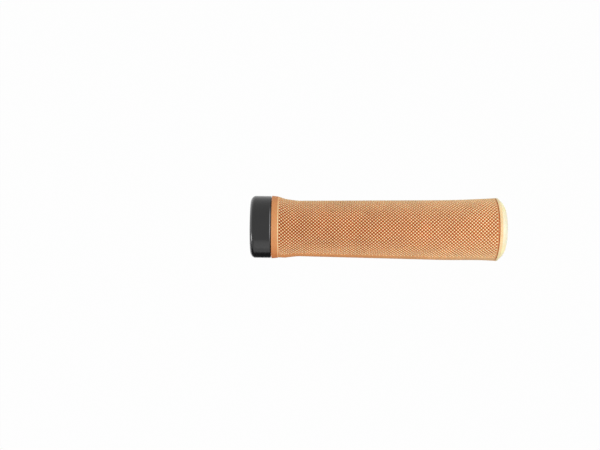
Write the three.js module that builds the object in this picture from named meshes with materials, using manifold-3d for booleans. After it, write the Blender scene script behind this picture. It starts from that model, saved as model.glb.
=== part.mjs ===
// Lock-on handlebar grip, right hand: rubber sleeve on a hard core, held by one split clamp collar.
// Millimetres. The origin is the centre of the bore's mouth at the collar's inboard face.
// +X runs outboard along the bar, +Y is forward and +Z is up.

import * as THREE from 'three';
import { mergeVertices } from 'three/addons/utils/BufferGeometryUtils.js';
import Module from 'manifold-3d';

const wasm = await Module();
wasm.setup();

// Bar and bore
const BAR_DIAMETER = 22.2;
const BAR_CLEARANCE = 0.1;

// Core
const CORE_WALL = 1.3;
const CORE_END_WALL = 1.6;
const CORE_END_ROUNDING = 0.8;
const CORE_MOUTH_SETBACK = 0.6;
const SHOULDER_HEIGHT = 1.5;
const SHOULDER_THICKNESS = 2.0;
const FINGER_COUNT = 6;
const FINGER_SLOT_WIDTH = 1.6;
const FINGER_ROOT = 0.9;
const LUG_COUNT = 4;
const LUG_WIDTH = 4.0;
const LUG_HEIGHT = 1.3;
const LUG_LENGTH = 2.5;

// Clamp collar
const COLLAR_WIDTH = 11.2;
const COLLAR_WALL = 4.3;
const COLLAR_BEVEL_ALONG = 2.3;
const COLLAR_BEVEL_DEEP = 2.7;
const COLLAR_KNEE_ALONG = 0.45;
const COLLAR_KNEE_DEEP = 0.65;
const COLLAR_CHAMFER = 0.5;
const COLLAR_BORE_CHAMFER = 0.3;
const COLLAR_SLIT = 2.0;
const BOSS_WALL = 0.3;
const BOSS_HALF_ANGLE = 48;

// Clamp screw
const SCREW_DIAMETER = 3.0;
const SCREW_LENGTH = 11.5;
const SCREW_HEAD_DIAMETER = 5.5;
const SCREW_HEAD_LENGTH = 3.0;
const SCREW_HEAD_CHAMFER = 0.3;
const SCREW_UNDER_BORE = 2.9;
const SCREW_SEAT = 4.6;
const HEX_WIDTH = 2.5;
const HEX_DEPTH = 1.6;
const HEAD_POCKET_DIAMETER = 6.2;

// Rubber sleeve
const GRIP_LENGTH = 139.5;
const COLLAR_GAP = 0.55;
const FLANGE_OVERHANG = 0.15;
const FLANGE_FALL = 0.3;
const FLANGE_WIDTH = 3.25;
const FLANGE_ROUNDING = 0.3;
const FLANGE_STEP = 0.12;
const NECK_RUBBER = 2.75;
const NECK_PLACE = 26.4;
const NECK_CURVE = 1.2;
const PALM_RUBBER = 4.35;
const PALM_LEAN = 0.62;
const LEAN_RISE = 4.5;
const LEAN_FALL = 30.0;
const END_FLARE = 0.33;
const END_FLARE_LENGTH = 15.0;
const KNURL_STARTS = 30;
const KNURL_PITCH = 3.55;
const KNURL_DEPTH = 0.6;
const SEAM_ANGLE = 78;
const SEAM_WIDTH = 7.0;
const GROOVE_WIDTH = 0.9;
const GROOVE_DEPTH = 0.5;
const GROOVE_SIDE = 0.3;
const BEAD_RISE = 0.45;
const BEAD_WIDTH = 1.5;
const BEAD_FALL = 0.6;
const BEAD_LEAD = 0.5;
const BEAD_EDGE_DROP = 0.2;
const CREASE_DEPTH = 0.12;
const END_CORNER_LENGTH = 3.6;
const END_CORNER_DROP = 6.0;
const END_SHOULDER_LENGTH = 2.8;
const END_SHOULDER_DROP = 2.7;
const END_FACE_RISE = 0.5;
const END_FACE_FLAT = 8.0;
const END_RUBBER = 3.5;

// Clearances
const COLLAR_CLEARANCE = 0.2;
const FACE_CLEARANCE = 0.1;
const LUG_CLEARANCE = 0.2;
const SCREW_CLEARANCE = 0.2;
const BOND_CLEARANCE = 0.1;

// Fineness of the round surfaces
const BODY_SEGMENTS = 2 * KNURL_STARTS;
const COLLAR_SEGMENTS = 72;
const ROUNDING_STEPS = 3;
const BEVEL_STEPS = 5;
const END_STEPS = 5;
const SCREW_SEGMENTS = 24;

// Sizes that follow from the ones above
const boreRadius = BAR_DIAMETER / 2 + BAR_CLEARANCE;
const coreRadius = boreRadius + CORE_WALL;
const shoulderRadius = coreRadius + SHOULDER_HEIGHT;
const shoulderStart = COLLAR_WIDTH + FACE_CLEARANCE;
const shoulderEnd = shoulderStart + SHOULDER_THICKNESS;
const collarBore = coreRadius + COLLAR_CLEARANCE;
const collarRadius = collarBore + COLLAR_WALL;
const screwDepth = collarBore + SCREW_UNDER_BORE;
const bossDepth = screwDepth + HEAD_POCKET_DIAMETER / 2 + BOSS_WALL;
const flangeRadius = collarRadius + FLANGE_OVERHANG;
const flangeEdgeRadius = flangeRadius - FLANGE_FALL;
const flangeStart = COLLAR_WIDTH + COLLAR_GAP;
const palmStart = flangeStart + FLANGE_WIDTH;
const neckRadius = coreRadius + NECK_RUBBER;
const palmRadius = coreRadius + PALM_RUBBER;
const beadRadius = palmRadius + BEAD_RISE;
const endCornerEnd = GRIP_LENGTH - END_FACE_RISE;
const beadEnd = endCornerEnd - END_CORNER_LENGTH;
const beadStart = beadEnd - BEAD_WIDTH;
const palmEnd = beadStart - GROOVE_WIDTH;
const coreEnd = GRIP_LENGTH - END_RUBBER;
const stopFace = coreEnd - CORE_END_WALL;

const rubber = new THREE.MeshStandardMaterial({ color: 0xcc9063, roughness: 0.75, metalness: 0 });
const nylon = new THREE.MeshStandardMaterial({ color: 0x1c1c1e, roughness: 0.6, metalness: 0 });
const anodised = new THREE.MeshStandardMaterial({ color: 0x2b2b2d, roughness: 0.42, metalness: 0.7 });
const blackSteel = new THREE.MeshStandardMaterial({ color: 0x222224, roughness: 0.38, metalness: 0.8 });

// A point of a turned profile: its station along the bar and its radius.
function at(station, radius) {
  return new THREE.Vector2(radius, station);
}

// Turns a profile about the bar's axis. The profile runs outboard along the outside.
function turn(profile, segments) {
  const geometry = new THREE.LatheGeometry(profile, segments);
  geometry.rotateZ(-Math.PI / 2);
  return geometry;
}

// Joins shared corners and drops the empty triangles that a profile leaves on its axis.
function weld(geometry) {
  geometry.deleteAttribute('normal');
  geometry.deleteAttribute('uv');
  const welded = mergeVertices(geometry, 1e-4);
  const corners = welded.index.array;
  const kept = [];
  for (let i = 0; i < corners.length; i += 3) {
    const [a, b, c] = [corners[i], corners[i + 1], corners[i + 2]];
    if (a !== b && b !== c && c !== a) kept.push(a, b, c);
  }
  welded.setIndex(kept);
  return welded;
}

function toSolid(geometry) {
  const welded = weld(geometry);
  return new wasm.Manifold(new wasm.Mesh({
    numProp: 3,
    vertProperties: new Float32Array(welded.attributes.position.array),
    triVerts: new Uint32Array(welded.index.array),
  }));
}

function toGeometry(solid) {
  const mesh = solid.getMesh();
  const geometry = new THREE.BufferGeometry();
  geometry.setAttribute('position', new THREE.BufferAttribute(mesh.vertProperties, 3));
  geometry.setIndex(new THREE.BufferAttribute(mesh.triVerts, 1));
  return geometry;
}

// A block that points away from the bar's axis, its foot at a radius, turned round from the top.
function radialBlock(start, end, foot, tip, width, angle) {
  const block = new THREE.BoxGeometry(end - start, width, tip - foot);
  block.translate((start + end) / 2, 0, (foot + tip) / 2);
  block.rotateX(angle);
  return block;
}

// A plain cylinder along the screw's line, across the bar and under it.
function screwCylinder(radius, from, to, segments) {
  const cylinder = new THREE.CylinderGeometry(radius, radius, to - from, segments);
  cylinder.translate(COLLAR_WIDTH / 2, (from + to) / 2, -screwDepth);
  return cylinder;
}

// Angles from the top, one for each of a number of copies spread round the bar.
function spread(count, first) {
  return Array.from({ length: count }, (_, i) => first + (i * 2 * Math.PI) / count);
}

const lugAngles = spread(LUG_COUNT, Math.PI / LUG_COUNT);

// Hard tube with a closed outboard end, a shoulder for the collar and clamping fingers under it.
function buildCore() {
  const rounding = new THREE.Path();
  rounding.absarc(
    coreRadius - CORE_END_ROUNDING, coreEnd - CORE_END_ROUNDING, CORE_END_ROUNDING, 0, Math.PI / 2, false,
  );
  const tube = turn([
    at(stopFace, 0),
    at(stopFace, boreRadius),
    at(CORE_MOUTH_SETBACK, boreRadius),
    at(CORE_MOUTH_SETBACK, coreRadius),
    at(shoulderStart, coreRadius),
    at(shoulderStart, shoulderRadius),
    at(shoulderEnd, shoulderRadius),
    at(shoulderEnd, coreRadius),
    ...rounding.getPoints(ROUNDING_STEPS),
    at(coreEnd, 0),
  ], BODY_SEGMENTS);
  let core = toSolid(tube);
  const lugStart = shoulderStart - LUG_LENGTH;
  const lugEnd = shoulderStart + FACE_CLEARANCE;
  const lugFoot = coreRadius - CORE_WALL / 2;
  const lugTop = coreRadius + LUG_HEIGHT;
  for (const angle of lugAngles) {
    core = core.add(toSolid(radialBlock(lugStart, lugEnd, lugFoot, lugTop, LUG_WIDTH, angle)));
  }
  const slotEnd = lugStart - FINGER_ROOT;
  const slotFoot = boreRadius - CORE_WALL;
  for (const angle of spread(FINGER_COUNT, 0)) {
    core = core.subtract(toSolid(radialBlock(0, slotEnd, slotFoot, lugTop, FINGER_SLOT_WIDTH, angle)));
  }
  return toGeometry(core);
}

// How far the collar's outline stands out at an angle from the top: round, with a flat boss underneath.
function collarOutline(angle) {
  const fromBottom = Math.abs(Math.PI - Math.abs(angle));
  const side = THREE.MathUtils.degToRad(BOSS_HALF_ANGLE);
  if (fromBottom >= side) return collarRadius;
  return Math.min(bossDepth / Math.cos(fromBottom), collarRadius / Math.cos(side - fromBottom));
}

// Turned ring with a broad rounded bevel inboard, swelling to a boss where the screw crosses its slit.
function buildCollar() {
  const bevel = new THREE.Path();
  bevel.moveTo(collarRadius - COLLAR_BEVEL_DEEP, 0);
  bevel.quadraticCurveTo(
    collarRadius - COLLAR_KNEE_DEEP, COLLAR_KNEE_ALONG,
    collarRadius, COLLAR_BEVEL_ALONG,
  );
  const ring = turn([
    at(COLLAR_WIDTH, collarBore),
    at(COLLAR_BORE_CHAMFER, collarBore),
    at(0, collarBore + COLLAR_BORE_CHAMFER),
    ...bevel.getPoints(BEVEL_STEPS),
    at(COLLAR_WIDTH - COLLAR_CHAMFER, collarRadius),
    at(COLLAR_WIDTH, collarRadius - COLLAR_CHAMFER),
    at(COLLAR_WIDTH, collarBore),
  ], COLLAR_SEGMENTS);
  const corners = ring.attributes.position;
  const rim = collarRadius - COLLAR_BEVEL_DEEP;
  for (let i = 0; i < corners.count; i += 1) {
    const radius = Math.hypot(corners.getY(i), corners.getZ(i));
    if (radius < rim) continue;
    const angle = Math.atan2(corners.getY(i), corners.getZ(i));
    const reach = (radius - collarRadius + collarOutline(angle)) / radius;
    corners.setY(i, corners.getY(i) * reach);
    corners.setZ(i, corners.getZ(i) * reach);
  }
  const below = Math.PI;
  const pastBoss = bossDepth + COLLAR_SLIT;
  const pastEnd = COLLAR_WIDTH + COLLAR_SLIT;
  const slit = radialBlock(-COLLAR_SLIT, pastEnd, boreRadius, pastBoss, COLLAR_SLIT, below);
  const hole = screwCylinder(SCREW_DIAMETER / 2 + SCREW_CLEARANCE, -SCREW_SEAT, collarRadius, SCREW_SEGMENTS);
  const pocket = screwCylinder(HEAD_POCKET_DIAMETER / 2, -collarRadius, -SCREW_SEAT, SCREW_SEGMENTS);
  let collar = toSolid(ring).subtract(toSolid(slit)).subtract(toSolid(hole)).subtract(toSolid(pocket));
  const notchStart = shoulderStart - LUG_LENGTH - LUG_CLEARANCE;
  const notchTop = coreRadius + LUG_HEIGHT + LUG_CLEARANCE;
  for (const angle of lugAngles) {
    const notch = radialBlock(
      notchStart, COLLAR_WIDTH + LUG_LENGTH, boreRadius, notchTop, LUG_WIDTH + 2 * LUG_CLEARANCE, angle,
    );
    collar = collar.subtract(toSolid(notch));
  }
  return toGeometry(collar);
}

// Socket head screw across the slit, its head in the pocket on the rear side.
function buildScrew() {
  const headRadius = SCREW_HEAD_DIAMETER / 2;
  const seat = -SCREW_SEAT - FACE_CLEARANCE;
  const top = seat - SCREW_HEAD_LENGTH;
  const tip = seat + SCREW_LENGTH;
  const body = new THREE.LatheGeometry([
    new THREE.Vector2(0, top),
    new THREE.Vector2(headRadius - SCREW_HEAD_CHAMFER, top),
    new THREE.Vector2(headRadius, top + SCREW_HEAD_CHAMFER),
    new THREE.Vector2(headRadius, seat),
    new THREE.Vector2(SCREW_DIAMETER / 2, seat),
    new THREE.Vector2(SCREW_DIAMETER / 2, tip - SCREW_HEAD_CHAMFER),
    new THREE.Vector2(SCREW_DIAMETER / 2 - SCREW_HEAD_CHAMFER, tip),
    new THREE.Vector2(0, tip),
  ], SCREW_SEGMENTS);
  body.translate(COLLAR_WIDTH / 2, 0, -screwDepth);
  const hex = screwCylinder(HEX_WIDTH / Math.sqrt(3), top - HEX_DEPTH, top + HEX_DEPTH, 6);
  return toGeometry(toSolid(body).subtract(toSolid(hex)));
}

// Radius of the hand area's surface: a flare up to the flange, a slow taper and a last swell at the end.
function palmSurface(station) {
  if (station < NECK_PLACE) {
    const back = (NECK_PLACE - station) / (NECK_PLACE - palmStart);
    return neckRadius + (flangeEdgeRadius - FLANGE_STEP - neckRadius) * Math.pow(back, NECK_CURVE);
  }
  const along = (station - NECK_PLACE) / (palmEnd - NECK_PLACE);
  const swell = Math.max(0, (station - palmEnd) / END_FLARE_LENGTH + 1);
  return neckRadius + (palmRadius - neckRadius) * along + END_FLARE * swell * swell;
}

// How far the hand area's centre line stands off the bar's, towards the rider's palm.
function palmLean(station) {
  const rise = THREE.MathUtils.smoothstep(station, palmStart, palmStart + LEAN_RISE);
  const fall = THREE.MathUtils.smoothstep(station, palmEnd - LEAN_FALL, palmEnd);
  return PALM_LEAN * rise * (1 - fall);
}

// Whether an angle from the top lies on one of the two smooth strips that cover the mould's parting line.
function onSeam(angle) {
  const seam = THREE.MathUtils.degToRad(SEAM_ANGLE);
  const away = THREE.MathUtils.euclideanModulo(angle - seam + Math.PI / 2, Math.PI) - Math.PI / 2;
  return Math.abs(away) < SEAM_WIDTH / (2 * palmRadius);
}

// Sinks every second corner of the hand area's grid, and turns the quads so that grooves cross at each one.
// That leaves pyramids between two sets of V grooves, which wind round the sleeve in opposite directions.
function cutKnurl(geometry, stations, firstRow, lastRow) {
  const corners = geometry.attributes.position;
  const index = geometry.index.array;
  const isPit = (column, row) => row > firstRow && row < lastRow && (column + row) % 2 === 1
    && !onSeam((column * 2 * Math.PI) / BODY_SEGMENTS);
  for (let column = 0; column <= BODY_SEGMENTS; column += 1) {
    for (let row = firstRow; row <= lastRow; row += 1) {
      if (!isPit(column, row)) continue;
      const corner = column * stations + row;
      const radius = Math.hypot(corners.getY(corner), corners.getZ(corner));
      const sink = 1 - KNURL_DEPTH / radius;
      corners.setY(corner, corners.getY(corner) * sink);
      corners.setZ(corner, corners.getZ(corner) * sink);
      if (column === BODY_SEGMENTS || row === lastRow) continue;
      const [a, b] = [corner, corner + stations];
      index.set([a, b, b + 1, a, b + 1, a + 1], 6 * (column * (stations - 1) + row));
    }
  }
}

// Moves the hand area's corners towards the palm. No other corner lies at its stations.
function leanPalm(geometry) {
  const corners = geometry.attributes.position;
  for (let i = 0; i < corners.count; i += 1) {
    corners.setY(i, corners.getY(i) - palmLean(corners.getX(i)));
  }
}

// Moulded rubber: plain flange, waisted and knurled hand area, groove, bead and closed rounded end.
function buildSleeve() {
  const recess = shoulderRadius + BOND_CLEARANCE;
  const lining = coreRadius + BOND_CLEARANCE;
  const knurlRows = 2 * Math.round((palmEnd - palmStart) / KNURL_PITCH);
  const rowPitch = (palmEnd - palmStart) / knurlRows;
  const palm = Array.from({ length: knurlRows + 1 }, (_, row) => palmStart + row * rowPitch);
  const grooveFloor = palmSurface(palmEnd) - GROOVE_DEPTH;
  const end = new THREE.Path();
  end.moveTo(beadRadius - BEAD_FALL - CREASE_DEPTH, beadEnd);
  end.quadraticCurveTo(
    beadRadius - END_SHOULDER_DROP, beadEnd + END_SHOULDER_LENGTH,
    beadRadius - END_CORNER_DROP, endCornerEnd,
  );
  end.quadraticCurveTo(END_FACE_FLAT, GRIP_LENGTH, 0, GRIP_LENGTH);
  const base = [
    at(coreEnd + BOND_CLEARANCE, 0),
    at(coreEnd + BOND_CLEARANCE, lining),
    at(shoulderEnd + BOND_CLEARANCE, lining),
    at(shoulderEnd + BOND_CLEARANCE, recess),
    at(flangeStart, recess),
    at(flangeStart, flangeRadius - FLANGE_ROUNDING),
    at(flangeStart + FLANGE_ROUNDING, flangeRadius),
    at(palmStart - FLANGE_STEP, flangeEdgeRadius),
  ];
  const profile = [
    ...base,
    ...palm.map((station) => at(station, palmSurface(station))),
    at(palmEnd + GROOVE_SIDE, grooveFloor),
    at(beadStart - GROOVE_SIDE, grooveFloor),
    at(beadStart, beadRadius - BEAD_EDGE_DROP),
    at(beadStart + BEAD_LEAD, beadRadius),
    at(beadEnd - CREASE_DEPTH, beadRadius - BEAD_FALL),
    ...end.getPoints(END_STEPS),
  ];
  const sleeve = turn(profile, BODY_SEGMENTS);
  cutKnurl(sleeve, profile.length, base.length, base.length + knurlRows);
  leanPalm(sleeve);
  return weld(sleeve);
}

function piece(name, geometry, material) {
  const mesh = new THREE.Mesh(geometry, material);
  mesh.name = name;
  return mesh;
}

const grip = new THREE.Group();
grip.add(piece('rubber_sleeve', buildSleeve(), rubber));
grip.add(piece('inner_core', buildCore(), nylon));
grip.add(piece('lock_ring', buildCollar(), anodised));
grip.add(piece('clamp_screw', buildScrew(), blackSteel));

export default grip;
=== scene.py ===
"""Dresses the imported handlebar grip: gum rubber with a fine diamond knurl, black collar, core and screw.

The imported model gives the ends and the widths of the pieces. The grip's axis is X, its outboard end is at +X
and its top at +Z. Angles round it are taken from the top towards the rear. Lengths are in metres, and MM
turns a drawing's millimetres into them.
"""

import logging
import math
from collections.abc import Sequence
from dataclasses import dataclass, field
from enum import Enum

import bmesh
import bpy
import numpy as np
from mathutils import Matrix, Vector


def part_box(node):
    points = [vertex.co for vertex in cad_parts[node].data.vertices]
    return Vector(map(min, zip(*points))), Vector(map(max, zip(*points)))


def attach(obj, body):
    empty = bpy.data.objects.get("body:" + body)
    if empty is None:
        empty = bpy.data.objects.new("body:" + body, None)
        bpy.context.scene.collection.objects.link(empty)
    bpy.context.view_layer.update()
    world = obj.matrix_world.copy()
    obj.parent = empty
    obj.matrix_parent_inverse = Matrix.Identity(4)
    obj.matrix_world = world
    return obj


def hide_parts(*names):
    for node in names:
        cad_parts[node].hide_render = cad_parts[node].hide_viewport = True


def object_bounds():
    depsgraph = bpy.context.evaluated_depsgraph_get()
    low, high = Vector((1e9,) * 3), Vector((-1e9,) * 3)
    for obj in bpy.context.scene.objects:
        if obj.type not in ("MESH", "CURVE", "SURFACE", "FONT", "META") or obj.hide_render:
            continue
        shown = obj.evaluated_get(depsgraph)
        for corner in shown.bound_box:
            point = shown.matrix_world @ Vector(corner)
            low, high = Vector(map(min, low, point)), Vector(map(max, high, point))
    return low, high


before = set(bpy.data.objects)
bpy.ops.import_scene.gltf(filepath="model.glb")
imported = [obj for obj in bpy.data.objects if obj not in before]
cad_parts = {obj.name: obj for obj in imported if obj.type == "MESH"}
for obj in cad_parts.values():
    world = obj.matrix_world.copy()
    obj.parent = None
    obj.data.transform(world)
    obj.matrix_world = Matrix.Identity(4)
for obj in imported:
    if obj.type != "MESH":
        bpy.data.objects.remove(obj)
cad_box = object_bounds()

log = logging.getLogger("grip")
MM = 0.001
BODY = "root"
# Level of the rubber's painted light and shade at which it shows its own plain colour
PLAIN_TONE = 0.5
CRISP_ANGLE = 30.0
SAME_POINT = 1e-7
NO_LENGTH = 1e-8
NOISE_LOW = 0.3
NOISE_HIGH = 0.7
Colour = tuple[float, float, float, float]
Pair = tuple[float, float]
Triple = tuple[float, float, float]
Grid = np.ndarray
Piece = bpy.types.Object
Socket = bpy.types.NodeSocket


def shade(red: int, green: int, blue: int) -> Colour:
    """Turn a colour as a screen shows it into the linear colour that a shader takes.

    Args:
        red: Red from 0 to 255.
        green: Green from 0 to 255.
        blue: Blue from 0 to 255.

    Returns:
        The linear colour with an alpha of one.
    """
    parts = [value / 255 for value in (red, green, blue)]
    linear = [part / 12.92 if part <= 0.04045 else ((part + 0.055) / 1.055) ** 2.4 for part in parts]
    return (*linear, 1.0)


class Turning(Enum):
    """How a turned profile ends: on the axis at both ends, or back at its own start."""

    ON_AXIS = "on axis"
    LOOP = "loop"


@dataclass(frozen=True)
class Row:
    """One ring of points of a turned surface, with the two weights that colour the rubber: its painted light
    and shade, and how far it turns to the pale end colour.
    """

    station: float
    radius: float
    tone: float = PLAIN_TONE
    pale: float = 0.0


def arc(centre: Pair, radius: float, start: float, end: float, steps: int) -> list[Row]:
    """Make the rows of a round corner.

    Args:
        centre: Station and radius of the corner's centre.
        radius: Radius of the corner.
        start: First angle in degrees, from the outboard direction towards the outside.
        end: Last angle in degrees.
        steps: Number of steps.

    Returns:
        One row for each point of the arc.
    """
    angles = [math.radians(start + (end - start) * i / steps) for i in range(steps + 1)]
    return [Row(centre[0] + radius * math.cos(a), centre[1] + radius * math.sin(a)) for a in angles]


def curve(points: Sequence[Pair], steps: int) -> list[Pair]:
    """Follow a quadratic curve.

    Args:
        points: Start, control point and end, each a station and a radius.
        steps: Number of steps.

    Returns:
        The points after the start.
    """
    (x0, r0), (x1, r1), (x2, r2) = points
    spots = []
    for i in range(1, steps + 1):
        t = i / steps
        u = 1 - t
        spots.append((u * u * x0 + 2 * u * t * x1 + t * t * x2, u * u * r0 + 2 * u * t * r1 + t * t * r2))
    return spots


def every_column(values: Sequence[float], columns: int) -> Grid:
    """Repeat each row's value in every column round the axis."""
    return np.repeat(np.array(values)[:, None], columns, axis=1)


def column_angles(columns: int) -> Grid:
    """Give each column's angle in radians, from the top towards the rear."""
    return np.arange(columns) * 2 * np.pi / columns


def ring_points(stations: Sequence[float], radii: Grid) -> Grid:
    """Place a grid of points round the grip's axis.

    Args:
        stations: One station for each row.
        radii: One radius for each row and column.

    Returns:
        The points, row after row.
    """
    columns = radii.shape[1]
    angles = column_angles(columns)
    x = every_column(stations, columns)
    return np.stack([x, -radii * np.sin(angles), radii * np.cos(angles)], axis=-1).reshape(-1, 3)


def ring_quads(rows: int, columns: int, turning: Turning) -> Grid:
    """List the quads of a turned grid, facing out.

    Args:
        rows: Number of rows.
        columns: Number of columns.
        turning: Whether the last row joins the first.

    Returns:
        Four corners for each quad.
    """
    spans = rows if turning is Turning.LOOP else rows - 1
    row, column = np.meshgrid(np.arange(spans), np.arange(columns), indexing="ij")
    here = row * columns
    after = (row + 1) % rows * columns
    beside = (column + 1) % columns
    return np.stack([here + column, here + beside, after + beside, after + column]).reshape(4, -1).T


def link_object(name: str, data: bpy.types.ID) -> Piece:
    """Put new data into the scene as an object."""
    made = bpy.data.objects.new(name, data)
    bpy.context.scene.collection.objects.link(made)
    return made


def make_object(
    name: str, points: Grid, faces: Sequence[Sequence[int]], sharp: float = CRISP_ANGLE,
    **weights: Grid,
) -> Piece:
    """Make a smooth shaded mesh object whose coinciding points are joined.

    Args:
        name: Name of the object.
        points: Corners of the mesh.
        faces: Corners of each face.
        sharp: Angle in degrees above which an edge stays crisp.
        **weights: Weights that the material reads, one for each point.

    Returns:
        The new object, linked to the scene.
    """
    mesh = bpy.data.meshes.new(name)
    mesh.from_pydata(points.tolist(), [], [list(map(int, face)) for face in faces])
    for label, values in weights.items():
        layer = mesh.attributes.new(label, "FLOAT", "POINT")
        layer.data.foreach_set("value", values.ravel().astype(np.float32))
    made = link_object(name, mesh)
    tidy_mesh(made, sharp)
    return made


def tidy_mesh(piece: Piece, sharp: float = CRISP_ANGLE) -> None:
    """Join coinciding points, drop empty faces and set which edges stay crisp.

    Args:
        piece: Object whose mesh is tidied.
        sharp: Angle in degrees above which an edge stays crisp.
    """
    shape = bmesh.new()
    shape.from_mesh(piece.data)
    bmesh.ops.remove_doubles(shape, verts=shape.verts, dist=SAME_POINT)
    bmesh.ops.dissolve_degenerate(shape, edges=shape.edges, dist=NO_LENGTH)
    shape.to_mesh(piece.data)
    shape.free()
    piece.data.shade_smooth()
    piece.data.set_sharp_from_angle(angle=math.radians(sharp))


def dress(piece: Piece, material: bpy.types.Material) -> None:
    """Give a piece one material."""
    piece.data.materials.clear()
    piece.data.materials.append(material)


def turned(name: str, rows: Sequence[Row], radii: Grid, turning: Turning) -> Piece:
    """Turn a profile about the grip's axis.

    Args:
        name: Name of the object.
        rows: The profile, running outboard along the outside.
        radii: One radius for each row and column.
        turning: How the profile ends.

    Returns:
        The new object.
    """
    points = ring_points([row.station for row in rows], radii)
    return make_object(name, points, ring_quads(*radii.shape, turning))


def block(name: str, low: Vector, high: Vector, turn: float = 0.0) -> Piece:
    """Make a box between two corners, turned about the grip's axis.

    Args:
        name: Name of the object.
        low: Lowest corner before it is turned.
        high: Highest corner before it is turned.
        turn: Angle in degrees from the top towards the rear.

    Returns:
        The new object.
    """
    shape = bmesh.new()
    bmesh.ops.create_cube(shape, size=1.0)
    size = Matrix.Diagonal((*(high - low), 1.0))
    place = Matrix.Rotation(math.radians(turn), 4, "X") @ Matrix.Translation((low + high) / 2)
    bmesh.ops.transform(shape, matrix=place @ size, verts=shape.verts)
    return from_bmesh(name, shape)


def rod(name: str, radius: float, start: Vector, end: Vector, sides: int) -> Piece:
    """Make a plain cylinder between two points.

    Args:
        name: Name of the object.
        radius: Radius at the corners.
        start: Centre of the first end.
        end: Centre of the last end.
        sides: Number of sides.

    Returns:
        The new object.
    """
    shape = bmesh.new()
    length = (end - start).length
    bmesh.ops.create_cone(shape, cap_ends=True, segments=sides, radius1=radius, radius2=radius, depth=length)
    turn = (end - start).to_track_quat("Z", "Y").to_matrix().to_4x4()
    bmesh.ops.transform(shape, matrix=Matrix.Translation((start + end) / 2) @ turn, verts=shape.verts)
    return from_bmesh(name, shape)


def from_bmesh(name: str, shape: bmesh.types.BMesh) -> Piece:
    """Turn a bmesh into an object of the scene, and free it.

    Args:
        name: Name of the object.
        shape: The bmesh.

    Returns:
        The new object.
    """
    mesh = bpy.data.meshes.new(name)
    shape.to_mesh(mesh)
    shape.free()
    return link_object(name, mesh)


def combine(piece: Piece, tools: Sequence[Piece], operation: str) -> None:
    """Cut tools out of a piece or join them to it, one after another, and delete them.

    Args:
        piece: Object that is changed.
        tools: Objects that cut it or join it.
        operation: DIFFERENCE or UNION.
    """
    for tool in tools:
        step = piece.modifiers.new("combine", "BOOLEAN")
        step.operation = operation
        step.solver = "EXACT"
        step.object = tool
        graph = bpy.context.evaluated_depsgraph_get()
        piece.data = bpy.data.meshes.new_from_object(piece.evaluated_get(graph))
        piece.modifiers.clear()
        bpy.data.objects.remove(tool)


class Sheet:
    """A node sheet, with short ways to place and join its nodes."""

    def __init__(self, tree: bpy.types.NodeTree, place: str) -> None:
        """Keep the sheet's nodes and links, and the coordinates that its patterns follow."""
        self.nodes = tree.nodes
        self.links = tree.links
        self.place = self.add("TexCoord").outputs[place]

    def feed(self, sockets: Sequence[Socket], *values: object) -> None:
        """Give each socket its value.

        Args:
            sockets: The sockets.
            *values: Sockets to link to them, or plain values.
        """
        for socket, value in zip(sockets, values):
            if isinstance(value, Socket):
                self.links.new(value, socket)
            else:
                socket.default_value = value

    def fill(self, node: bpy.types.Node, **values: object) -> None:
        """Set a node's properties, and feed its sockets where a name is a socket's.

        Args:
            node: The node.
            **values: Properties, and sockets with spaces written as underscores.
        """
        for key, value in values.items():
            label = key.replace("_", " ")
            if label in node.inputs:
                self.feed([node.inputs[label]], value)
            else:
                setattr(node, key, value)

    def add(self, kind: str, **values: object) -> bpy.types.Node:
        """Add a node and fill it.

        Args:
            kind: Blender's name for the shader node.
            **values: Properties and sockets.

        Returns:
            The new node.
        """
        node = self.nodes.new(f"ShaderNode{kind}")
        self.fill(node, **values)
        return node

    def maths(self, operation: str, *values: Socket | float) -> Socket:
        """Work out a value.

        Args:
            operation: Blender's name for the operation.
            *values: Sockets or numbers.

        Returns:
            The result.
        """
        node = self.add("Math", operation=operation)
        self.feed(node.inputs, *values)
        return node.outputs[0]

    def toward(self, direction: Triple) -> Socket:
        """Measure how far each point lies along a direction."""
        node = self.add("VectorMath", operation="DOT_PRODUCT")
        self.feed(node.inputs, self.place, direction)
        return node.outputs["Value"]

    def fade(self, source: Socket, near: float, far: float, last: float = 0.0) -> Socket:
        """Bring a value smoothly down from one.

        Args:
            source: The value.
            near: Value at which the result is still one.
            far: Value at which it reaches its last level.
            last: That level.

        Returns:
            The new value.
        """
        span = {"From_Min": near, "From_Max": far, "To_Min": 1.0, "To_Max": last}
        node = self.add("MapRange", interpolation_type="SMOOTHSTEP", Value=source, **span)
        return node.outputs["Result"]

    def show_white(self, lit: Socket, white: Socket, share: float) -> Socket:
        """Show white to the camera and in glossy and clear surfaces, and leave the lighting as it is.

        Args:
            lit: Shader that lights the grip.
            white: Shader that is shown.
            share: How much of the white is shown.

        Returns:
            The mixed shader.
        """
        path = self.add("LightPath")
        shown = self.maths("MAXIMUM", path.outputs["Is Camera Ray"], path.outputs["Is Glossy Ray"])
        shown = self.maths("MAXIMUM", shown, path.outputs["Is Transmission Ray"])
        blend = self.add("MixShader")
        self.feed(blend.inputs, self.maths("MULTIPLY", shown, share), lit, white)
        return blend.outputs[0]


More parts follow.
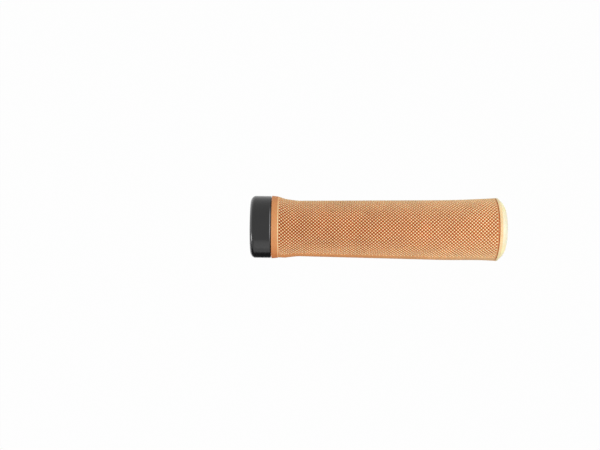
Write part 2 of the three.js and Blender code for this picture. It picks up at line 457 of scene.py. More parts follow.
class Board(Sheet):
    """A material's node sheet, with its grain, colours and relief."""

    def __init__(self, name: str) -> None:
        """Make the material and keep its shader."""
        self.material = bpy.data.materials.new(name)
        self.material.use_nodes = True
        super().__init__(self.material.node_tree, "Object")
        self.shader = self.nodes["Principled BSDF"]

    def weight(self, name: str) -> Socket:
        """Read one of the mesh's weights."""
        return self.add("Attribute", attribute_name=name).outputs["Fac"]

    def noise(self, scale: float, detail: float = 3.0, roughness: float = 0.5) -> Socket:
        """Make a noise over the surface.

        Args:
            scale: Number of noise cells in a metre.
            detail: Number of finer layers.
            roughness: Strength of the finer layers.

        Returns:
            The noise's value.
        """
        values = {"Scale": scale, "Detail": detail, "Roughness": roughness}
        return self.add("TexNoise", Vector=self.place, **values).outputs["Fac"]

    def ramp(self, source: Socket, stops: Sequence[tuple[float, Colour]]) -> Socket:
        """Turn a value into a colour.

        Args:
            source: The value.
            stops: Places from 0 to 1 and their colours.

        Returns:
            The colour.
        """
        node = self.add("ValToRGB", Fac=source)
        marks = node.color_ramp.elements
        while len(marks) < len(stops):
            marks.new(1.0)
        for mark, (place, colour) in zip(marks, stops):
            mark.position = place
            mark.color = colour
        return node.outputs["Color"]

    def grain(self, span: Pair, *noise: float) -> Socket:
        """Make a noise whose middle range covers a range of values.

        Args:
            span: Value at the noise's low end and at its high end.
            *noise: Scale, detail and roughness of the noise.

        Returns:
            The value.
        """
        ends = {"From_Min": NOISE_LOW, "From_Max": NOISE_HIGH, "To_Min": span[0], "To_Max": span[1]}
        return self.add("MapRange", Value=self.noise(*noise), **ends).outputs["Result"]

    def mix(
        self, share: Socket | float, low: Socket | Colour,
        high: Socket | Colour, blend: str = "MIX",
    ) -> Socket:
        """Mix two colours.

        Args:
            share: How much of the second colour shows.
            low: First colour.
            high: Second colour.
            blend: Blender's name for the way to mix.

        Returns:
            The mixed colour.
        """
        node = self.add("Mix", data_type="RGBA", blend_type=blend)
        self.feed((node.inputs[0], node.inputs[6], node.inputs[7]), share, low, high)
        return node.outputs[2]

    def line(self, away: Socket, width: float) -> Socket:
        """Mark a thin line.

        Args:
            away: Distance from the middle of the line, of either sign.
            width: Distance at which the line has faded out.

        Returns:
            One in the middle of the line and nothing beside it.
        """
        return self.fade(self.maths("ABSOLUTE", away), 0.0, width)

    def bump(self, layers: Sequence[tuple[Socket, float]]) -> None:
        """Lay fine relief over the surface.

        Args:
            layers: Heights and their depths in metres, coarse ones first.
        """
        below = {}
        for height, depth in layers:
            node = self.add("Bump", Height=height, Distance=depth, **below)
            below = {"Normal": node.outputs["Normal"]}
        self.fill(self.shader, **below)


@dataclass(frozen=True)
class GumRubber:
    """Moulded gum rubber of one plain colour, with painted shade in the grooves, painted highlights on the
    knurl's crests and a pale closed end that is partly a painted highlight.
    """

    # groove is painted shade and crest a painted highlight, laid over the plain colour by the painted light
    # weight
    groove: Colour = shade(188, 78, 6)
    plain: Colour = shade(227, 156, 98)
    crest: Colour = shade(255, 244, 191)
    # Pale end colour: partly the rubber's own paler end, partly a painted highlight from the lamp at the end
    end: Colour = shade(241, 234, 202)
    groove_shade_share: float = 0.25
    crest_highlight_share: float = 0.29
    roughness: Pair = (0.6, 0.76)
    dust: Colour = shade(236, 234, 230)
    dust_share: float = 1.0
    crest_gloss: float = 0.9
    end_gloss: float = 0.6
    end_gloss_roughness: float = 0.28
    depth_share: float = 0.08
    depth_spread: Triple = (1.0, 0.45, 0.2)
    depth: float = 0.3 * MM
    dust_softness: float = 0.5
    seam_width: float = 0.16 * MM
    seam_height: float = 0.05 * MM

    def material(self, seam_angle: float) -> bpy.types.Material:
        """Build the material.

        Args:
            seam_angle: Angle in degrees of the thin raised line where the mould's halves met.

        Returns:
            The material.
        """
        board = Board("gum_rubber")
        tone, pale = board.weight("tone"), board.weight("pale")
        gum = board.ramp(tone, [
            (self.groove_shade_share, self.groove), (PLAIN_TONE, self.plain), (1 - self.crest_highlight_share, self.crest),
        ])
        clouds = board.grain((0.93, 1.05), 90.0, 4.0)
        flecks = board.grain((0.96, 1.03), 1400.0, 2.0, 0.6)
        tint = board.maths("MULTIPLY", clouds, flecks)
        crests = board.maths("MAXIMUM", board.maths("SUBTRACT", tone, PLAIN_TONE), 0.0)
        board.fill(
            board.shader,
            Base_Color=board.mix(1.0, board.mix(pale, gum, self.end), tint, "MULTIPLY"),
            Roughness=board.grain(self.roughness, 260.0),
            Specular_IOR_Level=board.maths("MULTIPLY", tone, self.crest_gloss),
            Subsurface_Weight=self.depth_share,
            Subsurface_Radius=self.depth_spread,
            Subsurface_Scale=self.depth,
            Sheen_Weight=board.maths("MULTIPLY", crests, self.dust_share),
            Sheen_Roughness=self.dust_softness,
            Sheen_Tint=self.dust,
            Coat_Weight=board.maths("MULTIPLY", pale, self.end_gloss),
            Coat_Roughness=self.end_gloss_roughness,
        )
        turn = math.radians(seam_angle)
        seam = board.line(board.toward((0.0, math.cos(turn), math.sin(turn))), self.seam_width)
        board.bump([
            (seam, self.seam_height),
            (board.noise(900.0, 4.0, 0.6), 0.02 * MM),
            (board.noise(5200.0, 2.0, 0.5), 0.008 * MM),
        ])
        return board.material


@dataclass(frozen=True)
class BlackAnodised:
    """Turned and bead blasted aluminium, anodised black."""

    colour: Colour = shade(12, 12, 13)
    worn: Colour = shade(24, 24, 25)
    # A light grey painted highlight along the inboard rim and the outboard edge, the edge's line fading off
    # towards the front and the rear
    edge: Colour = shade(132, 132, 134)
    edge_width: float = 0.4 * MM
    edge_middle: float = 1.5 * MM
    edge_reach: float = 11.5 * MM
    edge_gain: float = 1.8
    rim_share: float = 0.38
    rim_width: float = 0.6 * MM
    roughness: Pair = (0.16, 0.26)

    def material(self, rim: float, edge: float) -> bpy.types.Material:
        """Build the material.

        Args:
            rim: Station of the middle of the painted highlight on the inboard rim.
            edge: Station of the middle of the painted highlight on the outboard edge.

        Returns:
            The material.
        """
        board = Board("black_anodised")
        along, across = board.toward((1.0, 0.0, 0.0)), board.toward((0.0, 1.0, 0.0))
        # Painted highlights: light grey lines on the inboard rim and the outboard edge, the edge's line fading
        # off towards the front and the rear
        at_rim = board.line(board.maths("SUBTRACT", along, rim), self.rim_width)
        at_edge = board.line(board.maths("SUBTRACT", along, edge), self.edge_width)
        side = board.line(board.maths("SUBTRACT", across, self.edge_middle), self.edge_reach)
        side = board.maths("MINIMUM", board.maths("MULTIPLY", side, self.edge_gain), 1.0)
        at_edge = board.maths("MULTIPLY", at_edge, side)
        painted_highlight = board.maths("MAXIMUM", board.maths("MULTIPLY", at_rim, self.rim_share), at_edge)
        skin = board.mix(board.grain((0.0, 0.5), 160.0, 4.0), self.colour, self.worn)
        board.fill(
            board.shader,
            Base_Color=board.mix(painted_highlight, skin, self.edge),
            Roughness=board.grain(self.roughness, 700.0),
        )
        waves = {"Scale": 2600.0, "Distortion": 1.5, "Detail": 2.0}
        turning = board.add("TexWave", Vector=board.place, bands_direction="X", **waves)
        board.bump([(turning.outputs["Fac"], 0.0015 * MM), (board.noise(7000.0, 2.0), 0.004 * MM)])
        return board.material


@dataclass(frozen=True)
class MouldedNylon:
    """Black glass filled nylon with the fine grain of its mould."""

    colour: Colour = shade(22, 22, 23)
    bloom: Colour = shade(40, 40, 42)
    roughness: Pair = (0.48, 0.62)

    def material(self) -> bpy.types.Material:
        """Build the material.

        Returns:
            The material.
        """
        board = Board("black_plastic")
        skin = board.mix(board.grain((0.0, 0.6), 240.0, 4.0), self.colour, self.bloom)
        board.fill(board.shader, Base_Color=skin, Roughness=board.grain(self.roughness, 900.0))
        board.bump([(board.noise(2600.0, 3.0), 0.012 * MM)])
        return board.material


@dataclass(frozen=True)
class BlackOxide:
    """Steel screw with an oiled black oxide skin that shows metal where it wears."""

    colour: Colour = shade(38, 37, 38)
    bare: Colour = shade(96, 94, 92)
    roughness: Pair = (0.26, 0.44)
    metal: float = 0.85

    def material(self) -> bpy.types.Material:
        """Build the material.

        Returns:
            The material.
        """
        board = Board("black_steel")
        wear = board.maths("MAXIMUM", board.grain((-0.3, 0.5), 1500.0, 5.0, 0.7), 0.0)
        board.fill(
            board.shader,
            Base_Color=board.mix(wear, self.colour, self.bare),
            Roughness=board.grain(self.roughness, 1100.0),
            Metallic=self.metal,
        )
        board.bump([(board.noise(5000.0, 3.0), 0.004 * MM)])
        return board.material


@dataclass
class RubberSleeve:
    """The moulded rubber: flange, waisted and knurled hand area, groove, bead and closed rounded end."""

    finish: GumRubber = field(default_factory=GumRubber)
    knurl_starts: int = 56
    knurl_pitch: float = 1.915 * MM
    knurl_depth: float = 0.75 * MM
    # Painted light and shade of single rows: a painted highlight on the knurl's first row, the flange's lip,
    # the bead and the crease
    knurl_first_tone: float = 0.7
    knurl_last_tone: float = 0.48
    lip_tone: float = 0.6
    bead_tone: float = 0.6
    crease_tone: float = 0.59
    crease_pale: float = 0.2
    crisp_angle: float = 24.0
    crest_edge: float = 0.84
    tone_softness: float = 0.63
    steps_per_pitch: int = 4
    seam_angle: float = 78.0
    seam_width: float = 8.6 * MM
    seam_tone: float = 0.43
    seam_outboard_painted_light: float = 0.05
    palm_side_painted_light: float = 0.05
    outboard_painted_light: float = 0.035
    # Painted light level of the closed end, shown where its pale colour gives way at the front and the rear
    end_tone: float = 0.66
    end_side_painted_shade: float = 2.2
    flange_shade: float = 0.09
    edge_shade: float = 0.2
    bead_side_painted_light: float = 0.07
    end_softness: float = 0.16
    side_contrast: float = 0.4
    lining_radius: float = 12.6 * MM
    recess_radius: float = 14.1 * MM
    recess_depth: float = 1.85 * MM
    end_wall: float = 3.4 * MM
    flange_width: float = 3.25 * MM
    flange_radius: float = 17.15 * MM
    flange_edge_radius: float = 16.85 * MM
    flange_rounding: float = 0.15 * MM
    flange_reach: float = 0.2 * MM
    flange_step: float = 0.12 * MM
    neck_station: float = 26.4 * MM
    neck_radius: float = 15.25 * MM
    neck_curve: float = 1.2
    palm_radius: float = 16.85 * MM
    palm_lean: float = 0.62 * MM
    lean_rise: float = 4.5 * MM
    lean_fall: float = 30.0 * MM
    end_flare: float = 0.33 * MM
    end_flare_length: float = 15.0 * MM
    groove_width: float = 0.5 * MM
    # Painted shade in the groove before the bead
    groove_tone: float = 0.22
    groove_depth: float = 0.5 * MM
    bead_width: float = 1.65 * MM
    bead_fall: float = 0.6 * MM
    bead_lead: float = 0.5 * MM
    bead_edge_drop: float = 0.2 * MM
    crease_depth: float = 0.12 * MM
    corner_length: float = 3.6 * MM
    corner_drop: float = 6.0 * MM
    shoulder_length: float = 2.8 * MM
    shoulder_drop: float = 2.7 * MM
    face_rise: float = 0.5 * MM
    face_flat: float = 8.0 * MM

    def __post_init__(self) -> None:
        """Take the sleeve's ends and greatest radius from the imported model."""
        low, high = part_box("rubber_sleeve")
        self.start = low.x - self.flange_reach
        self.end = high.x
        self.bead_radius = high.z
        self.palm_start = low.x + self.flange_width
        self.bead_end = self.end - self.face_rise - self.corner_length
        self.bead_start = self.bead_end - self.bead_width
        self.palm_end = self.bead_start - self.groove_width

    def surface(self, station: float) -> float:
        """Give the radius of the knurl's crests.

        Args:
            station: Place along the axis.

        Returns:
            The radius there.
        """
        if station < self.neck_station:
            back = (self.neck_station - station) / (self.neck_station - self.palm_start)
            rise = self.flange_edge_radius - self.flange_step - self.neck_radius
            return self.neck_radius + rise * back**self.neck_curve
        along = (station - self.neck_station) / (self.palm_end - self.neck_station)
        swell = max(0.0, (station - self.palm_end) / self.end_flare_length + 1)
        cone = (self.palm_radius - self.neck_radius) * along
        return self.neck_radius + cone + self.end_flare * swell * swell

    def lean(self, stations: Grid) -> Grid:
        """Give how far the hand area's centre line stands off the axis, towards the rear.

        Args:
            stations: Places along the axis.

        Returns:
            The distance at each place.
        """
        rise = np.clip((stations - self.palm_start) / self.lean_rise, 0.0, 1.0)
        fall = np.clip((self.palm_end - stations) / self.lean_fall, 0.0, 1.0)
        return self.palm_lean * rise * rise * (3 - 2 * rise) * fall * fall * (3 - 2 * fall)

    def inside_and_flange(self) -> list[Row]:
        """List the rows of the lining, the recess for the core's shoulder and the plain flange."""
        tip = self.end - self.end_wall
        back = self.start + self.recess_depth
        lip_radius = self.flange_edge_radius - self.flange_step / 3
        flange = arc(
            (self.start + self.flange_rounding, self.flange_radius - self.flange_rounding),
            self.flange_rounding, 180, 90, 4,
        )
        return [
            Row(tip, 0.0), Row(tip, self.lining_radius), Row(back, self.lining_radius),
            Row(back, self.recess_radius), Row(self.start, self.recess_radius),
            *flange,
            Row((self.start + self.palm_start) / 2, (self.flange_radius + self.flange_edge_radius) / 2),
            Row(self.palm_start - 2 * self.flange_step, self.flange_edge_radius),
            Row(self.palm_start - self.flange_step, lip_radius, self.lip_tone),
        ]

    def palm(self) -> list[Row]:
        """List the knurl's rows at the level of its crests."""
        pitches = round((self.palm_end - self.palm_start) / self.knurl_pitch)
        count = pitches * self.steps_per_pitch
        stations = [self.palm_start + (self.palm_end - self.palm_start) * i / count for i in range(count + 1)]
        return [Row(station, self.surface(station), 1.0) for station in stations]

    def closed_end(self) -> list[Row]:
        """List the rows of the groove, the bead, the crease and the rounded end."""
        crest = self.surface(self.palm_end)
        floor = crest - self.groove_depth
        third = self.groove_width / 3
        groove = [Row(x, floor, self.groove_tone) for x in (self.palm_end + third, self.bead_start - third)]
        bead_edge = self.bead_radius - self.bead_fall
        top = self.bead_start + self.bead_lead
        bead = curve([
            (self.bead_start, self.bead_radius - self.bead_edge_drop),
            (self.bead_start + self.bead_lead / 2, self.bead_radius), (top, self.bead_radius),
        ], 3) + curve([
            (top, self.bead_radius), (self.bead_end - 2 * self.crease_depth, self.bead_radius),
            (self.bead_end - self.crease_depth, bead_edge),
        ], 6)
        corner = curve([
            (self.bead_end, bead_edge - self.crease_depth),
            (self.bead_end + self.shoulder_length, self.bead_radius - self.shoulder_drop),
            (self.end - self.face_rise, self.bead_radius - self.corner_drop),
        ], 16)
        face = curve([
            (self.end - self.face_rise, self.bead_radius - self.corner_drop),
            (self.end, self.face_flat), (self.end, 0.0),
        ], 12)
        return [
            *groove,
            Row(self.bead_start, self.bead_radius - self.bead_edge_drop),
            *[Row(x, r, self.bead_tone) for x, r in bead],
            Row(self.bead_end, bead_edge - self.crease_depth, self.crease_tone, self.crease_pale),
            *[Row(x, r, self.end_tone, 1.0) for x, r in corner + face],
        ]

    def knurl(self, rows: int) -> tuple[Grid, Grid]:
        """Work out how high the knurl is between its two sets of winding grooves, and the light and shade
        painted on it.

        Args:
            rows: Number of the knurl's rows.

        Returns:
            Heights from nothing at a groove's floor to one on a crest, and painted light and shade from
            nothing, painted shade where grooves cross, to one, a painted highlight on a crest, for each row
            and column.
        """
        columns = self.knurl_starts * self.steps_per_pitch
        along = np.arange(rows)[:, None] / self.steps_per_pitch
        around = np.arange(columns)[None, :] / self.steps_per_pitch
        heights = np.ones((rows, columns))
        waves = np.zeros((rows, columns))
        for phase in (along + around, along - around):
            beside = np.abs(phase - np.round(phase))
            heights = np.minimum(heights, np.interp(beside, [0.0, 0.25, 0.5], [0.0, self.crest_edge, 1.0]))
            waves = waves - 0.5 * np.cos(2 * np.pi * phase)
        outboard = np.linspace(0.0, 1.0, rows)[:, None]
        sides = np.sin(column_angles(columns))**2
        # The knurl's painted light and shade stronger towards the front and the rear, and weaker towards the
        # outboard end
        contrast = (1 - self.end_softness * outboard) * (1 + self.side_contrast * sides)
        painted_lights = PLAIN_TONE * (1 + contrast * np.sign(waves) * np.abs(waves)**self.tone_softness)
        angles = np.degrees(2 * np.pi * around / self.knurl_starts)
        away = np.abs((angles - self.seam_angle + 90) % 180 - 90)
        smooth = np.broadcast_to(np.radians(away) * self.palm_radius < self.seam_width / 2, heights.shape)
        heights = np.where(smooth, 1.0, heights)
        # The smooth strip along the mould seam, a little below the plain level, with painted light growing
        # towards the outboard end
        painted_lights = np.where(smooth, self.seam_tone + self.seam_outboard_painted_light * outboard, painted_lights)
        heights[[0, -1]] = 1.0
        # Painted highlight: a light line on the knurl's first row; its last row sits just below the plain
        # level
        painted_lights[0] = self.knurl_first_tone
        painted_lights[-1] = self.knurl_last_tone
        return heights, painted_lights

    def build(self) -> Piece:
        """Build the sleeve as one closed mesh.

        Returns:
            The sleeve.
        """
        inner = self.inside_and_flange()
        palm = self.palm()
        rows = [*inner, *palm, *self.closed_end()]
        columns = self.knurl_starts * self.steps_per_pitch
        keys = ("tone", "pale", "radius")
        grids = [every_column([getattr(row, key) for row in rows], columns) for key in keys]
        painted_lights, pales, radii = grids
        heights = np.ones(radii.shape)
        first, past = len(inner), len(inner) + len(palm)
        heights[first:past], painted_lights[first:past] = self.knurl(len(palm))
        rear = np.sin(column_angles(columns))
        sides = rear**2
        along = np.linspace(0.0, 1.0, len(palm))[:, None]
        # Painted shade: the flange darker towards the front and the rear, most at the rear
        painted_lights[:first] -= self.flange_shade * sides * (1 + rear / 2)
        # Painted light: the knurl lighter towards the front and the rear, and towards the outboard end
        painted_lights[first:past] += self.palm_side_painted_light * sides + self.outboard_painted_light * along**2
        # Painted shade: that light first row darker towards the front and the rear
        painted_lights[first] -= self.edge_shade * sides
        groove_rows = 2
        # Painted light: the bead and the closed end lighter towards the front and the rear
        painted_lights[past + groove_rows:] += self.bead_side_painted_light * sides
        rounded = sum(row.pale == 1.0 for row in rows)
        # The closed end turns from its pale colour to the gum's towards the front and the rear: a painted
        # highlight along its middle and painted shade at its sides
        pales[-rounded:] -= self.end_side_painted_shade * sides * np.linspace(1.0, 0.0, rounded)[:, None]
        pales = np.maximum(pales, 0.0)
        points = ring_points([row.station for row in rows], radii - self.knurl_depth * (1 - heights))
        points[:, 1] -= self.lean(points[:, 0])
        faces = self.split(ring_quads(*radii.shape, Turning.ON_AXIS), heights.ravel())
        sleeve = make_object("rubber_grip", points, faces, self.crisp_angle, tone=painted_lights, pale=pales)
        dress(sleeve, self.finish.material(self.seam_angle))
        return sleeve

    def split(self, quads: Grid, heights: Grid) -> list[Sequence[int]]:
        """Cut the knurl's quads along the diagonal that keeps its grooves straight.

        Args:
            quads: Corners of each quad.
            heights: Height of each point.

        Returns:
            Triangles for the knurl and quads elsewhere.
        """
        level = heights[quads]
        even = np.ptp(level, axis=1) < 1e-9
        tilt = np.abs(level[:, 0] - level[:, 2]) - np.abs(level[:, 1] - level[:, 3])
        low = level[:, 0] + level[:, 2] - level[:, 1] - level[:, 3]
        first = np.where(np.abs(tilt) < 1e-6, low <= 0, tilt < 0)
        a_c = quads[~even & first]
        b_d = quads[~even & ~first]
        triangles = [a_c[:, [0, 1, 2]], a_c[:, [0, 2, 3]], b_d[:, [0, 1, 3]], b_d[:, [1, 2, 3]]]
        return [*quads[even].tolist(), *np.concatenate(triangles).tolist()]


@dataclass
class InnerCore:
    """The hard tube under the rubber, with its shoulder, drive lugs and clamping fingers."""

    finish: MouldedNylon = field(default_factory=MouldedNylon)
    columns: int = 144
    bore_radius: float = 11.2 * MM
    wall: float = 1.3 * MM
    end_wall: float = 1.6 * MM
    end_rounding: float = 0.8 * MM
    mouth_rounding: float = 0.35 * MM
    shoulder_start: float = 11.3 * MM
    shoulder_width: float = 2.0 * MM
    finger_count: int = 6
    slot_width: float = 1.6 * MM
    slot_end: float = 7.9 * MM
    lug_count: int = 4
    lug_width: float = 4.0 * MM
    lug_height: float = 1.3 * MM
    lug_length: float = 2.5 * MM

    def build(self) -> Piece:
        """Build the core.

        Returns:
            The core.
        """
        low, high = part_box("inner_core")
        outer = self.bore_radius + self.wall
        stop = high.x - self.end_wall
        mouth = self.mouth_rounding
        shoulder_end = self.shoulder_start + self.shoulder_width
        rows = [
            Row(stop, 0.0), Row(stop, self.bore_radius),
            *arc((low.x + mouth, self.bore_radius + mouth), mouth, 270, 180, 4),
            *arc((low.x + mouth, outer - mouth), mouth, 180, 90, 4),
            Row(self.shoulder_start, outer), Row(self.shoulder_start, high.z),
            Row(shoulder_end, high.z), Row(shoulder_end, outer),
            *arc((high.x - self.end_rounding, outer - self.end_rounding), self.end_rounding, 90, 0, 6),
            Row(high.x, 0.0),
        ]
        radii = every_column([row.radius for row in rows], self.columns)
        core = turned("core_tube", rows, radii, Turning.ON_AXIS)
        lug_top = outer + self.lug_height
        lug_start = self.shoulder_start - self.lug_length
        lug_low = Vector((lug_start, -self.lug_width / 2, outer - self.wall / 2))
        lug_high = Vector((self.shoulder_start + self.lug_height / 4, self.lug_width / 2, lug_top))
        slot_low = Vector((-self.wall, -self.slot_width / 2, self.bore_radius - self.wall))
        slot_high = Vector((self.slot_end, self.slot_width / 2, outer + self.wall))
        lug_step = 360 / self.lug_count
        slot_step = 360 / self.finger_count
        lugs = [block("lug", lug_low, lug_high, lug_step * (i + 0.5)) for i in range(self.lug_count)]
        slots = [block("slot", slot_low, slot_high, slot_step * i) for i in range(self.finger_count)]
        combine(core, lugs, "UNION")
        combine(core, slots, "DIFFERENCE")
        tidy_mesh(core)
        dress(core, self.finish.material())
        return core


@dataclass
class ClampCollar:
    """The split collar: a turned ring with a rounded inboard bevel and a flat screw boss underneath."""

    finish: BlackAnodised = field(default_factory=BlackAnodised)
    columns: int = 192
    bore_radius: float = 12.7 * MM
    bore_chamfer: float = 0.3 * MM
    bevel_along: float = 2.3 * MM
    bevel_deep: float = 2.7 * MM
    knee_along: float = 0.45 * MM
    knee_deep: float = 0.65 * MM
    chamfer: float = 0.5 * MM
    edge_rounding: float = 0.12 * MM
    slit: float = 2.0 * MM
    boss_half_angle: float = 48.0
    pocket_radius: float = 3.1 * MM
    hole_radius: float = 1.7 * MM
    screw_depth: float = 15.6 * MM
    screw_seat: float = 4.6 * MM
    notch_count: int = 4
    notch_width: float = 4.4 * MM
    notch_radius: float = 14.0 * MM
    notch_start: float = 8.6 * MM

    def __post_init__(self) -> None:
        """Take the collar's ends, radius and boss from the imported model."""
        low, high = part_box("lock_ring")
        self.start = low.x
        self.end = high.x
        self.radius = high.z
        self.boss_depth = -low.z

    def outline(self, angle: float) -> float:
        """Give the collar's reach at an angle.

        Args:
            angle: Angle from the top in radians.

        Returns:
            The distance from the axis to the outline.
        """
        from_bottom = abs(math.pi - angle % (2 * math.pi))
        side = math.radians(self.boss_half_angle)
        if from_bottom >= side:
            return self.radius
        return min(self.boss_depth / math.cos(from_bottom), self.radius / math.cos(side - from_bottom))

    def blank(self) -> Piece:
        """Build the collar before its cuts.

        Returns:
            The closed ring with its boss.
        """
        rim = self.radius - self.bevel_deep
        soft = self.edge_rounding
        rows = [
            Row(self.end, self.bore_radius + soft), Row(self.end - soft, self.bore_radius),
            Row(self.start + self.bore_chamfer, self.bore_radius),
            Row(self.start, self.bore_radius + self.bore_chamfer),
            Row(self.start, rim - soft),
            *[Row(x, r) for x, r in curve([
                (self.start, rim),
                (self.start + self.knee_along, self.radius - self.knee_deep),
                (self.start + self.bevel_along, self.radius),
            ], 12)],
            Row(self.start + self.bevel_along + soft, self.radius),
            *arc((self.end - self.chamfer, self.radius - self.chamfer), self.chamfer, 90, 0, 8),
        ]
        angles = [2 * math.pi * i / self.columns for i in range(self.columns)]
        swell = np.array([self.outline(angle) - self.radius for angle in angles])
        radii = np.array([row.radius for row in rows])
        share = (radii > rim).astype(float)
        return turned("collar", rows, radii[:, None] + share[:, None] * swell, Turning.LOOP)

    def build(self) -> Piece:
        """Build the collar with its slit, screw hole, head pocket and notches.

        Returns:
            The collar.
        """
        collar = self.blank()
        middle = (self.start + self.end) / 2
        past = self.radius
        slit_low = Vector((self.start - self.slit, -self.slit / 2, self.bore_radius - self.slit))
        slit_high = Vector((self.end + self.slit, self.slit / 2, self.boss_depth + self.slit))
        notch_low = Vector((self.notch_start, -self.notch_width / 2, self.bore_radius - self.slit))
        notch_high = Vector((self.end + self.slit, self.notch_width / 2, self.notch_radius))
        step = 360 / self.notch_count
        seat = Vector((middle, -self.screw_seat, -self.screw_depth))
        cuts = [
            block("slit", slit_low, slit_high, 180),
            rod("hole", self.hole_radius, seat, Vector((middle, past, -self.screw_depth)), 48),
            rod("pocket", self.pocket_radius, Vector((middle, -past, -self.screw_depth)), seat, 64),
            *[block("notch", notch_low, notch_high, step * (i + 0.5)) for i in range(self.notch_count)],
        ]
        combine(collar, cuts, "DIFFERENCE")
        tidy_mesh(collar)
        # Stations of the painted highlights on the rim and the edge
        rim_highlight_station = self.start + self.bevel_along / 3
        edge_highlight_station = self.end - self.chamfer * 2 / 3
        dress(collar, self.finish.material(rim_highlight_station, edge_highlight_station))
        return collar


@dataclass
class PinchScrew:
    """The socket head screw across the collar's slit, with its thread and the grip on its head's side."""

    finish: BlackOxide = field(default_factory=BlackOxide)
    columns: int = 96
    shank_radius: float = 1.5 * MM
    head_length: float = 3.0 * MM
    head_chamfer: float = 0.3 * MM
    thread_pitch: float = 0.5 * MM
    thread_depth: float = 0.2 * MM
    rows_per_turn: int = 8
    grip_depth: float = 0.05 * MM
    hex_width: float = 2.5 * MM
    hex_depth: float = 1.6 * MM

    def build(self) -> Piece:
        """Build the screw.

        Returns:
            The screw.
        """
        low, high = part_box("clamp_screw")
        head_radius = (high.x - low.x) / 2
        centre = (low + high) / 2
        seat = low.y + self.head_length
        count = int((high.y - seat - self.head_chamfer) / self.thread_pitch * self.rows_per_turn)
        shank = [seat + (i + 0.5) * self.thread_pitch / self.rows_per_turn for i in range(count)]
        chamfer = self.head_chamfer
        head = [
            (low.y, 0.0), (low.y, head_radius - chamfer), (low.y + chamfer, head_radius),
            (seat - chamfer / 3, head_radius), (seat, head_radius - chamfer / 3), (seat, self.shank_radius),
        ]
        profile = [
            *head, *[(station, self.shank_radius) for station in shank],
            (high.y, self.shank_radius - chamfer), (high.y, 0.0),
        ]
        stations = every_column([station for station, _ in profile], self.columns)
        radii = every_column([radius for _, radius in profile], self.columns)
        turns = np.arange(self.columns) / self.columns
        thread = slice(len(head), len(head) + count)
        phase = (stations[thread] / self.thread_pitch + turns) % 1.0
        radii[thread] -= self.thread_depth * np.abs(2 * phase - 1)
        head_side = slice(2, 4)
        radii[head_side] -= self.grip_depth * (np.arange(self.columns) % 2)
        angles = 2 * np.pi * turns
        x = centre.x + radii * np.sin(angles)
        z = centre.z + radii * np.cos(angles)
        points = np.stack([x, stations, z], axis=-1).reshape(-1, 3)
        screw = make_object("pinch_screw", points, ring_quads(*radii.shape, Turning.ON_AXIS))
        mouth = Vector((centre.x, low.y - self.hex_depth, centre.z))
        floor = Vector((centre.x, low.y + self.hex_depth, centre.z))
        combine(screw, [rod("hex", self.hex_width / math.sqrt(3), mouth, floor, 6)], "DIFFERENCE")
        tidy_mesh(screw)
        dress(screw, self.finish.material())
        return screw


@dataclass(frozen=True)
class SoftBox:
    """One square studio lamp that faces the grip."""

    name: str
    place: Triple
    size: float
    power: float
    mirrored: bool = True

    def build(self, target: Vector) -> None:
        """Put up the lamp.

        Args:
            target: Point that it faces.
        """
        lamp = bpy.data.lights.new(self.name, "AREA")
        lamp.shape = "SQUARE"
        lamp.size = self.size
        lamp.energy = self.power
        holder = link_object(self.name, lamp)
        holder.visible_camera = False
        holder.visible_glossy = self.mirrored
        holder.location = self.place
        holder.rotation_euler = (target - Vector(self.place)).to_track_quat("-Z", "Y").to_euler()


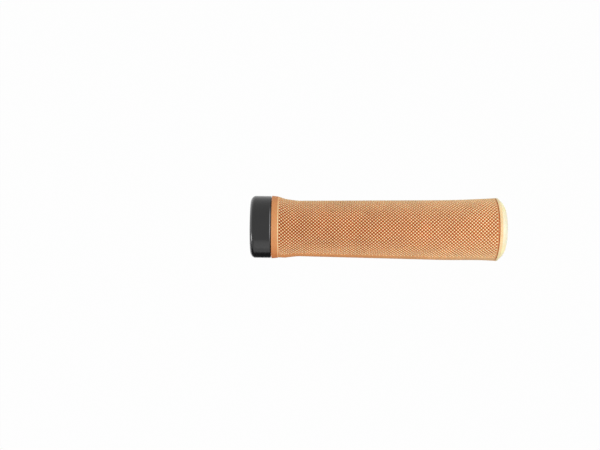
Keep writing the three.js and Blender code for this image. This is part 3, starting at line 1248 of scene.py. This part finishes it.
@dataclass
class Studio:
    """The pale floor below the grip, a black card behind it, the white surroundings and the lamps."""

    floor_drop: float = 0.5
    floor_size: float = 12.0
    floor_edge: float = -0.24
    floor_white: float = 0.62
    floor_speck: float = 0.01
    speck_scale: float = 3.0
    sheet_roughness: float = 0.8
    camera_share: float = 0.97
    card_depth: float = 1.4
    card_black: float = 0.01
    zenith_level: float = 0.96
    horizon_level: float = 0.66
    ground_level: float = 0.08
    horizon_spot: float = 0.47
    ground_spot: float = 0.35
    level_limit: float = 2.0
    dark_side: Triple = (-0.88, 0.1, 0.46)
    dark_share: float = 0.85
    dark_from: float = 0.86
    dark_to: float = 0.96
    lamps: tuple[SoftBox, ...] = (
        SoftBox("rear_box", (0.05, -0.7, 0.27), 0.45, 0.37),
        SoftBox("inner_box", (-0.55, -0.22, -0.04), 0.14, 0.7),
        SoftBox("end_box", (0.68, 0.0, -0.05), 0.28, 0.38, mirrored=False),
        SoftBox("outer_box", (0.2, 0.0, 0.2), 0.08, 0.13),
    )

    def __post_init__(self) -> None:
        """Set the floor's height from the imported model."""
        self.level = cad_box[0].z - self.floor_drop

    def build(self) -> None:
        """Lay the floor and the card, light the surroundings and put up the lamps."""
        low, high = cad_box
        self.lay_floor()
        self.lay_card()
        self.light_surroundings()
        for lamp in self.lamps:
            lamp.build((low + high) / 2)

    def lay_sheet(self, name: str, span: Pair, board: Board, grey: Pair) -> Piece:
        """Lay a flat matt sheet below the grip.

        Args:
            name: Name of the sheet.
            span: Where it starts at the rear and ends at the front.
            board: Its material's node sheet.
            grey: Its darkest and its lightest grey.

        Returns:
            The sheet.
        """
        half = self.floor_size / 2
        corners = [(-half, span[0]), (half, span[0]), (half, span[1]), (-half, span[1])]
        sheet = make_object(name, np.array([(x, y, self.level) for x, y in corners]), [(0, 1, 2, 3)])
        speck = board.grain(grey, self.speck_scale)
        colour = board.mix(speck, shade(0, 0, 0), shade(255, 255, 255))
        board.fill(board.shader, Base_Color=colour, Roughness=self.sheet_roughness)
        dress(sheet, board.material)
        return sheet

    def lay_floor(self) -> None:
        """Lay a white floor that keeps a faint shadow."""
        board = Board("studio_white")
        span = (self.floor_edge, self.floor_size / 2)
        grey = (self.floor_white - self.floor_speck, self.floor_white + self.floor_speck)
        floor = self.lay_sheet("studio_floor", span, board, grey)
        glow = board.add("Emission")
        shown = board.show_white(board.shader.outputs[0], glow.outputs[0], self.camera_share)
        board.fill(board.nodes["Material Output"], Surface=shown)

    def lay_card(self) -> None:
        """Lay a black card behind the floor's rear edge, which only glossy surfaces show."""
        span = (self.floor_edge - self.card_depth, self.floor_edge)
        grey = (self.card_black, 2 * self.card_black)
        card = self.lay_sheet("studio_card", span, Board("studio_black"), grey)
        card.visible_camera = False
        card.visible_diffuse = False
        card.visible_shadow = False

    def light_surroundings(self) -> None:
        """Light the grip from a horizon that dims overhead and on one side, and show white in its place."""
        world = bpy.data.worlds.new("studio_air")
        world.use_nodes = True
        world.node_tree.nodes.clear()
        bpy.context.scene.world = world
        sheet = Sheet(world.node_tree, "Generated")
        height = sheet.add("MapRange", Value=sheet.toward((0.0, 0.0, 1.0)), From_Min=-1.0)
        levels = sheet.add("FloatCurve", Value=height.outputs["Result"])
        levels.mapping.clip_max_y = self.level_limit
        levels.mapping.extend = "HORIZONTAL"
        marks = levels.mapping.curves[0].points
        marks.new(self.ground_spot, self.ground_level)
        marks.new(self.horizon_spot, self.horizon_level)
        marks[0].location = (0.0, self.ground_level)
        marks[-1].location = (1.0, self.zenith_level)
        for mark in marks:
            mark.handle_type = "VECTOR"
        levels.mapping.update()
        toward_dark = sheet.toward(self.dark_side)
        dimming = sheet.fade(toward_dark, self.dark_from, self.dark_to, 1.0 - self.dark_share)
        strength = sheet.maths("MULTIPLY", levels.outputs[0], dimming)
        white = shade(255, 255, 255)
        sky = sheet.add("Background", Color=white, Strength=strength)
        shown = sheet.add("Background", Color=white)
        surface = sheet.show_white(sky.outputs[0], shown.outputs[0], 1.0)
        sheet.add("OutputWorld", Surface=surface)


@dataclass
class TopCamera:
    """The camera, straight above the grip and turned a little."""

    place: Pair = (26.98 * MM, 1.28 * MM)
    height: float = 0.56
    pixels_per_metre: float = 1820.0
    frame_width: float = 600.0
    roll: float = 0.65

    def build(self) -> None:
        """Hang the camera."""
        camera = bpy.data.cameras.new("top_camera")
        camera.sensor_width = 36.0
        camera.lens = self.pixels_per_metre * self.height / self.frame_width * camera.sensor_width
        camera.clip_start = 0.01
        camera.clip_end = 30.0
        holder = link_object("top_camera", camera)
        holder.location = (*self.place, self.height)
        holder.rotation_euler = (0.0, 0.0, math.radians(self.roll))
        bpy.context.scene.camera = holder


def main() -> None:
    """Build the camera, the studio and every piece of the grip, and put each piece on the part's one body."""
    logging.basicConfig(level=logging.INFO, format="%(name)s: %(message)s")
    bpy.context.scene.view_settings.view_transform = "Standard"
    TopCamera().build()
    Studio().build()
    jobs = (
        (RubberSleeve(), "rubber_sleeve", "gum_rubber"),
        (InnerCore(), "inner_core", "black_plastic"),
        (ClampCollar(), "lock_ring", "black_anodised"),
        (PinchScrew(), "clamp_screw", "black_steel"),
    )
    for maker, node, slot in jobs:
        piece = maker.build()
        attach(piece, BODY)
        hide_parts(node)
        log.info("%s stands for %s with %d faces", piece.name, node, len(piece.data.polygons))


if __name__ == "__main__":
    main()
